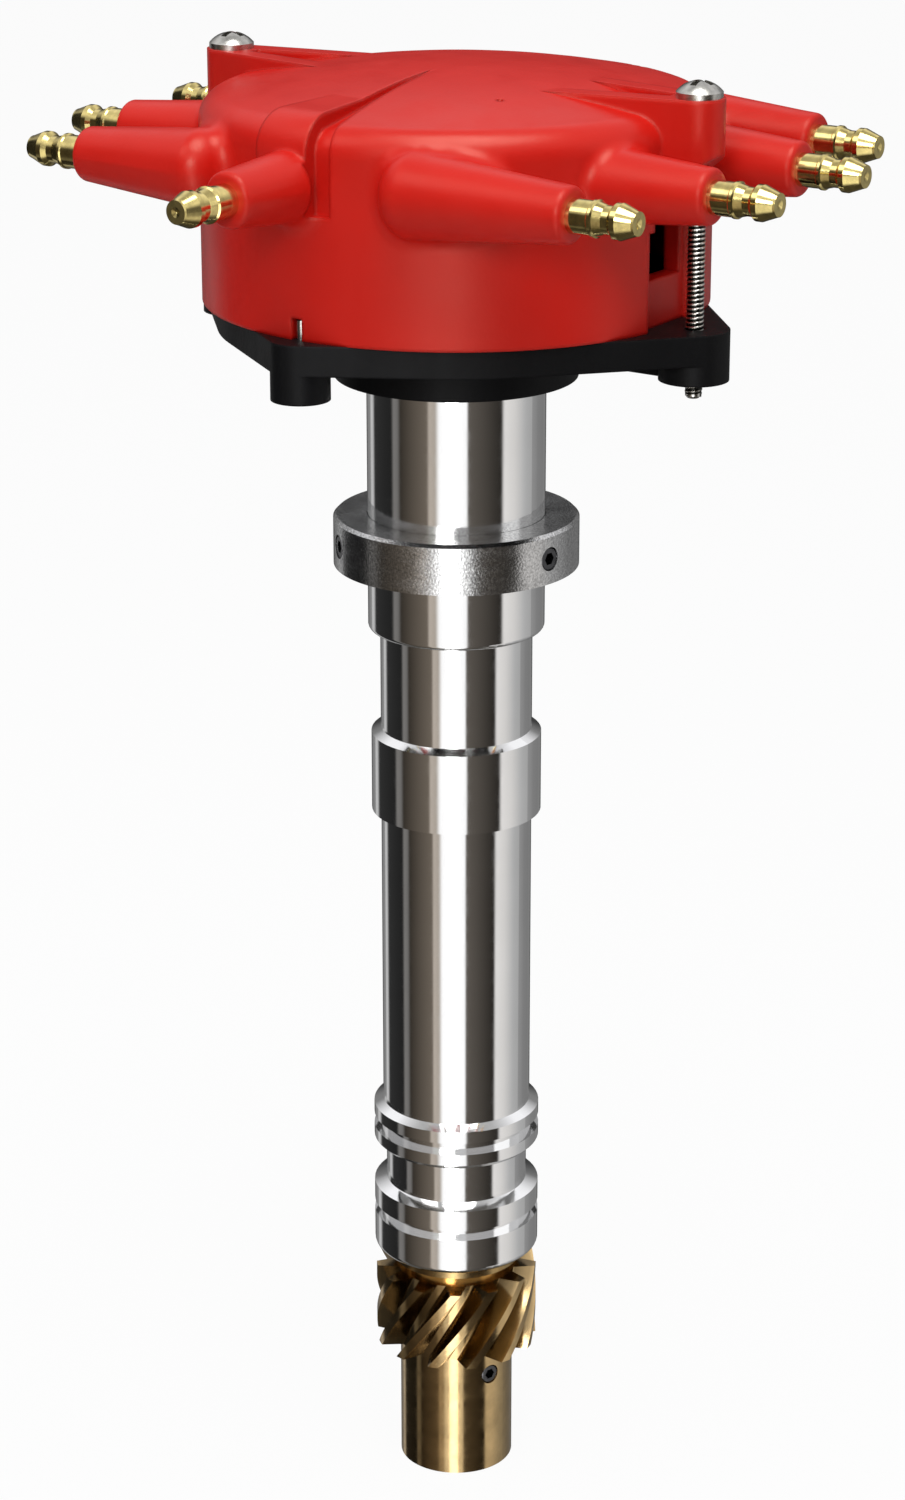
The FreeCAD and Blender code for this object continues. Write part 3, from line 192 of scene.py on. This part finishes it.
def moulding(name, colour, rough, grain, gloss, contrast=0.05, grain_scale=1500.0, edge=0.0006,
             tint=(1.0, 1.0, 1.0)):
    """Moulded plastic: near-even colour, a fine skin texture, and slightly uneven gloss."""
    material, tree, shader, coords = shader_tree(name)
    dark, light = tones(colour, 1 - contrast, 1 + contrast)
    flow = noise(tree, coords, 28.0, 3.0)
    link(tree, ramp(tree, flow, [(0.30, dark), (0.70, light)]), shader.inputs["Base Color"])
    scuffs = noise(tree, mapped(tree, coords, (150.0, 150.0, 60.0)), 1.0, 5.0)
    link(tree, spread(tree, scuffs, 0.35, 0.75, rough, rough + 0.10), shader.inputs["Roughness"])
    shader.inputs["Specular IOR Level"].default_value = gloss
    shader.inputs["Specular Tint"].default_value = (*tint, 1.0)
    skin = noise(tree, coords, grain_scale, 3.0)
    waves = noise(tree, coords, 45.0, 2.0)
    bumped(tree, shader, [(skin, grain, 0.00010), (waves, 0.10, 0.0006)], edge)
    return material


GEAR_HUB_RADIUS, TOOTH_ROOT_RADIUS, TOOTH_MIDDLE_RADIUS = 11.8 * MM, 12.1 * MM, 15.0 * MM
TOOTH_TIP_RADIUS, GEAR_RADIUS = 15.8 * MM, 16.5 * MM
# Painted shade: the gear keeps its full colour on its hub and tooth tips, and is darkened between the
# teeth, where shade falls
GEAR_SHADE = [(0.0, 1.0), (GEAR_HUB_RADIUS, 1.0), (TOOTH_ROOT_RADIUS, 0.38), (TOOTH_MIDDLE_RADIUS, 0.66),
              (TOOTH_TIP_RADIUS, 1.0), (GEAR_RADIUS, 1.0)]
MATERIALS = {
    "machined_aluminium": metal("machined_aluminium", (0.92, 0.92, 0.92), 0.09, turned=0.16,
                                contrast=0.03, rough_spread=0.025),
    "blasted_aluminium": metal("blasted_aluminium", (0.60, 0.60, 0.60), 0.21, turned=0.20, grain=0.32,
                               spots=2400.0, contrast=0.34),
    "red_moulding": moulding("red_moulding", (0.55, 0.0095, 0.0055), 0.31, 0.20, 0.41, edge=0.0011,
                             tint=(1.0, 0.80, 0.64)),
    "black_moulding": moulding("black_moulding", (0.005, 0.005, 0.0055), 0.46, 0.35, 0.12, 0.25, 1100.0),
    "terminal_brass": metal("terminal_brass", (0.74, 0.60, 0.235), 0.16, spots=700.0, contrast=0.18),
    "gear_bronze": metal("gear_bronze", (0.58, 0.41, 0.20), 0.15, spots=260.0, turned=0.22, contrast=0.14,
                         shade=GEAR_SHADE),
    "sintered_bronze": metal("sintered_bronze", (0.50, 0.34, 0.17), 0.42, grain=0.3, spots=500.0),
    "stainless_steel": metal("stainless_steel", (0.50, 0.49, 0.46), 0.27, grain=0.12, spots=900.0,
                             contrast=0.20),
    "shaft_steel": metal("shaft_steel", (0.56, 0.56, 0.57), 0.20, turned=0.25),
    "bearing_steel": metal("bearing_steel", (0.75, 0.75, 0.77), 0.12),
    "spring_steel": metal("spring_steel", (0.30, 0.30, 0.32), 0.30),
    "black_oxide_steel": metal("black_oxide_steel", (0.10, 0.10, 0.105), 0.26, spots=600.0, contrast=0.3),
    "carbon": moulding("carbon", (0.03, 0.03, 0.032), 0.55, 0.4, 0.3),
}
WORN_BRASS = metal("worn_brass", (0.42, 0.29, 0.13), 0.24, spots=500.0, turned=0.25, contrast=0.2)
for name, thing in nodes.items():
    thing.data.materials.clear()
    thing.data.materials.append(WORN_BRASS if name == "thrust_washer" else MATERIALS[slots[name]])


# Threads of the two cap screws

THREAD_ROOT, THREAD_CREST, THREAD_PITCH = 1.46 * MM, 1.60 * MM, 0.82 * MM
THREAD_LOW, THREAD_HIGH = 38.4 * MM, 76.0 * MM
SCREW_FROM_MIDDLE = 50.25 * MM
# One pitch of the thread, upwards: share of the pitch and radius
THREAD_PROFILE = [(0.0, THREAD_ROOT), (0.30, THREAD_ROOT), (0.52, THREAD_CREST), (0.72, THREAD_CREST),
                  (0.94, THREAD_ROOT)]
THREAD_SIDES = 28


def thread_steel():
    """Screw steel with painted shade between the crests, told by the distance from the screw's own axis.
    """
    material, tree, shader, coords = shader_tree("thread_steel")
    height = spread(tree, distance_from_axis(tree, coords), THREAD_ROOT, THREAD_CREST, 0.0, 1.0)
    # Painted shade: near black at the thread's roots, full steel colour at its crests
    link(tree, ramp(tree, height, [(0.15, (0.02, 0.02, 0.018)), (0.75, (0.70, 0.67, 0.62))]),
         shader.inputs["Base Color"])
    shader.inputs["Metallic"].default_value = 1.0
    grime = noise(tree, coords, 900.0, 3.0)
    link(tree, spread(tree, grime, 0.3, 0.7, 0.22, 0.34), shader.inputs["Roughness"])
    bumped(tree, shader, [(grime, 0.05, 0.00005)])
    return material


def thread(name, x):
    """A helical ridge round a cap screw's shank, which stands along Z."""
    mesh = bmesh.new()
    parts = len(THREAD_PROFILE)
    rows = (int((THREAD_HIGH - THREAD_LOW) / THREAD_PITCH) - 1) * parts
    grid = []
    for row in range(rows + 1):
        whole, part = divmod(row, parts)
        share, reach = THREAD_PROFILE[part]
        fade = min(1.0, row / parts, (rows - row) / parts)
        radius = THREAD_ROOT + (reach - THREAD_ROOT) * fade
        ring = []
        for step in range(THREAD_SIDES + 1):
            angle = 2 * math.pi * step / THREAD_SIDES
            z = THREAD_LOW + (whole + share + step / THREAD_SIDES) * THREAD_PITCH
            ring.append(mesh.verts.new((radius * math.cos(angle), radius * math.sin(angle), z)))
        grid.append(ring)
    for below, above in zip(grid, grid[1:]):
        for i in range(THREAD_SIDES):
            mesh.faces.new((below[i], below[i + 1], above[i + 1], above[i]))
    bmesh.ops.remove_doubles(mesh, verts=mesh.verts, dist=1e-6)
    mesh.normal_update()
    data = bpy.data.meshes.new(name)
    mesh.to_mesh(data)
    mesh.free()
    thing = bpy.data.objects.new(name, data)
    scene.collection.objects.link(thing)
    thing.location.x = x
    data.materials.append(THREAD_STEEL)
    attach(thing, "housing")


THREAD_STEEL = thread_steel()
thread("front_cap_screw_thread", SCREW_FROM_MIDDLE)
thread("rear_cap_screw_thread", -SCREW_FROM_MIDDLE)


# Floor, light and camera

FLOOR_SIZE, FLOOR_GAP = 40.0, 0.2 * MM
FLOOR_WHITE = 0.95
ROOM_LIGHT = 0.30
CAMERA_AZIMUTH, CAMERA_PITCH = 33.7, 19.38
CAMERA_PLACE = (0.3699, -0.5546, 0.1969)
SENSOR_WIDTH, LENS = 36.0, 89.06
# The photograph's middle lies a few of its 1500 pixels beside the camera's axis
CAMERA_SHIFT = -4.0 / 1500.0
LIGHT_TARGET = Vector((0, 0, 30 * MM))
# Upright panels of the studio, which the metal shows: first and last azimuth in degrees from the
# front, to the right, the brightness at each and how warm the panel is
PANELS = [(-180, -168, 0.045, 0.05, 0.0),
          (-160, -146, 0.20, 0.24, 0.0),
          (-142, -136, 0.55, 0.50, 0.0),
          (-130, -92, 0.030, 0.016, 0.0),
          (-88, -81, 0.20, 0.16, 0.3),
          (-77, -38, 0.035, 0.15, 1.4),
          (-35, -27, 0.50, 0.42, 1.0),
          (-22, -15, 1.08, 1.08, 0.0),
          (-13, 2, 3.4, 3.4, 0.0),
          (4, 13, 1.08, 1.08, 0.0),
          (15, 60, 0.11, 0.022, 1.0),
          (64, 80, 0.78, 0.68, 0.2),
          (98, 128, 0.46, 0.22, 0.0),
          (146, 158, 0.20, 0.22, 0.0),
          (168, 180, 0.05, 0.045, 0.0)]
# What full warmth takes from a panel's green and blue
WARM_GREEN, WARM_BLUE = 0.12, 0.24
# Bands of the studio, by how high a direction points: where each starts and is full, colour and blend
BANDS = [(-0.02, 0.10, (0.40, 0.40, 0.40, 1), "DARKEN"),
         (0.34, 0.62, (0.98, 0.98, 1.0, 1), "MIX"),
         (0.74, 0.90, (0.45, 0.45, 0.45, 1), "MIX"),
         (-0.72, -0.90, (0.07, 0.065, 0.055, 1), "MIX")]


def make_floor():
    """A pale floor: near white to the camera, with the object's soft shadow, and unseen by the metal."""
    bpy.ops.mesh.primitive_plane_add(size=FLOOR_SIZE, location=(0, 0, cad_box[0][2] - FLOOR_GAP))
    floor = bpy.context.object
    floor.name = "floor"
    material = bpy.data.materials.new("floor")
    material.use_nodes = True
    tree = material.node_tree
    shader = tree.nodes["Principled BSDF"]
    shader.inputs["Base Color"].default_value = (0.70, 0.70, 0.70, 1)
    shader.inputs["Roughness"].default_value = 0.9
    shader.inputs["Specular IOR Level"].default_value = 0.1
    path = tree.nodes.new("ShaderNodeLightPath")
    share = tree.nodes.new("ShaderNodeMath")
    share.operation = "MULTIPLY"
    share.inputs[1].default_value = FLOOR_WHITE
    link(tree, path.outputs["Is Camera Ray"], share.inputs[0])
    white = tree.nodes.new("ShaderNodeEmission")
    clear = tree.nodes.new("ShaderNodeBsdfTransparent")
    seen = mixed_shader(tree, share.outputs[0], shader.outputs[0], white.outputs[0])
    surface = mixed_shader(tree, path.outputs["Is Glossy Ray"], seen, clear.outputs[0])
    link(tree, surface, tree.nodes["Material Output"].inputs["Surface"])
    floor.data.materials.append(material)


def mixed_shader(tree, factor, without, full):
    """Two shaders mixed by a factor."""
    mix = tree.nodes.new("ShaderNodeMixShader")
    link(tree, factor, mix.inputs["Fac"])
    link(tree, without, mix.inputs[1])
    link(tree, full, mix.inputs[2])
    return mix.outputs[0]


def background(tree, strength, colour=(1, 1, 1, 1)):
    node = tree.nodes.new("ShaderNodeBackground")
    node.inputs["Color"].default_value = colour
    node.inputs["Strength"].default_value = strength
    return node


def direction(tree):
    """The azimuth in radians from the camera's side, to the right, and the height of each direction."""
    coords = tree.nodes.new("ShaderNodeTexCoord").outputs["Generated"]
    turn = tree.nodes.new("ShaderNodeMapping")
    turn.inputs["Rotation"].default_value = (0, 0, math.radians(-CAMERA_AZIMUTH))
    link(tree, coords, turn.inputs["Vector"])
    split = tree.nodes.new("ShaderNodeSeparateXYZ")
    link(tree, turn.outputs[0], split.inputs[0])
    flip = tree.nodes.new("ShaderNodeMath")
    flip.operation = "MULTIPLY"
    flip.inputs[1].default_value = -1.0
    link(tree, split.outputs["Y"], flip.inputs[0])
    azimuth = tree.nodes.new("ShaderNodeMath")
    azimuth.operation = "ARCTAN2"
    link(tree, split.outputs["X"], azimuth.inputs[0])
    link(tree, flip.outputs[0], azimuth.inputs[1])
    return azimuth.outputs[0], split.outputs["Z"]


def reflected_room(tree):
    """The colour of the panels and bands in each direction."""
    azimuth, height = direction(tree)
    stops = []
    for first, last, near, far, warmth in PANELS:
        for angle, level in ((first, near), (last, far)):
            colour = (level, level * (1 - WARM_GREEN * warmth), level * (1 - WARM_BLUE * warmth))
            stops.append(((angle + 180) / 360, colour))
    room = ramp(tree, spread(tree, azimuth, -math.pi, math.pi, 0.0, 1.0), stops)
    for low, high, colour, blend in BANDS:
        mix = tree.nodes.new("ShaderNodeMix")
        mix.data_type = "RGBA"
        mix.blend_type = blend
        link(tree, spread(tree, height, low, high, 0.0, 1.0), mix.inputs["Factor"])
        link(tree, room, mix.inputs[6])
        mix.inputs[7].default_value = colour
        room = mix.outputs[2]
    return room


def make_world():
    """A pale room, with panels and bands for reflections only, and a white backdrop for the camera."""
    world = bpy.data.worlds.new("studio")
    scene.world = world
    world.use_nodes = True
    tree = world.node_tree
    tree.nodes.clear()
    glossy = background(tree, 1.0)
    link(tree, reflected_room(tree), glossy.inputs["Color"])
    soft = background(tree, ROOM_LIGHT, (0.95, 0.97, 1.0, 1))
    white = background(tree, 1.0)
    path = tree.nodes.new("ShaderNodeLightPath")
    lit = mixed_shader(tree, path.outputs["Is Glossy Ray"], soft.outputs[0], glossy.outputs[0])
    seen = mixed_shader(tree, path.outputs["Is Camera Ray"], lit, white.outputs[0])
    out = tree.nodes.new("ShaderNodeOutputWorld")
    link(tree, seen, out.inputs["Surface"])


def toward(azimuth, elevation):
    """The direction that points to an azimuth from the front, to the right, and an elevation."""
    a, e = math.radians(azimuth), math.radians(elevation)
    return Vector((math.sin(a) * math.cos(e), -math.cos(a) * math.cos(e), math.sin(e)))


def area_light(name, azimuth, elevation, distance, size, power):
    """A soft box. Azimuth counts from the camera's side, to the right."""
    light = bpy.data.lights.new(name, "AREA")
    light.shape = "DISK"
    light.size = size
    light.energy = power
    thing = bpy.data.objects.new(name, light)
    scene.collection.objects.link(thing)
    away = toward(azimuth + CAMERA_AZIMUTH, elevation)
    thing.location = LIGHT_TARGET + away * distance
    thing.rotation_euler = (-away).to_track_quat("-Z", "Y").to_euler()


def make_camera():
    data = bpy.data.cameras.new("camera")
    data.sensor_width = SENSOR_WIDTH
    data.lens = LENS
    data.shift_x = CAMERA_SHIFT
    data.clip_start, data.clip_end = 0.01, 100.0
    camera = bpy.data.objects.new("camera", data)
    scene.collection.objects.link(camera)
    camera.location = CAMERA_PLACE
    camera.rotation_mode = "QUATERNION"
    camera.rotation_quaternion = (-toward(CAMERA_AZIMUTH, CAMERA_PITCH)).to_track_quat("-Z", "Y")
    scene.camera = camera


make_floor()
make_world()
area_light("overhead", 10.0, 74.0, 1.1, 0.75, 9.5)
area_light("key", -14.0, 24.0, 1.1, 0.40, 3.8)
area_light("fill", 75.0, 20.0, 1.2, 0.60, 0.5)
area_light("side", -66.0, 50.0, 1.1, 0.55, 1.0)
make_camera()
scene.view_settings.view_transform = "Standard"
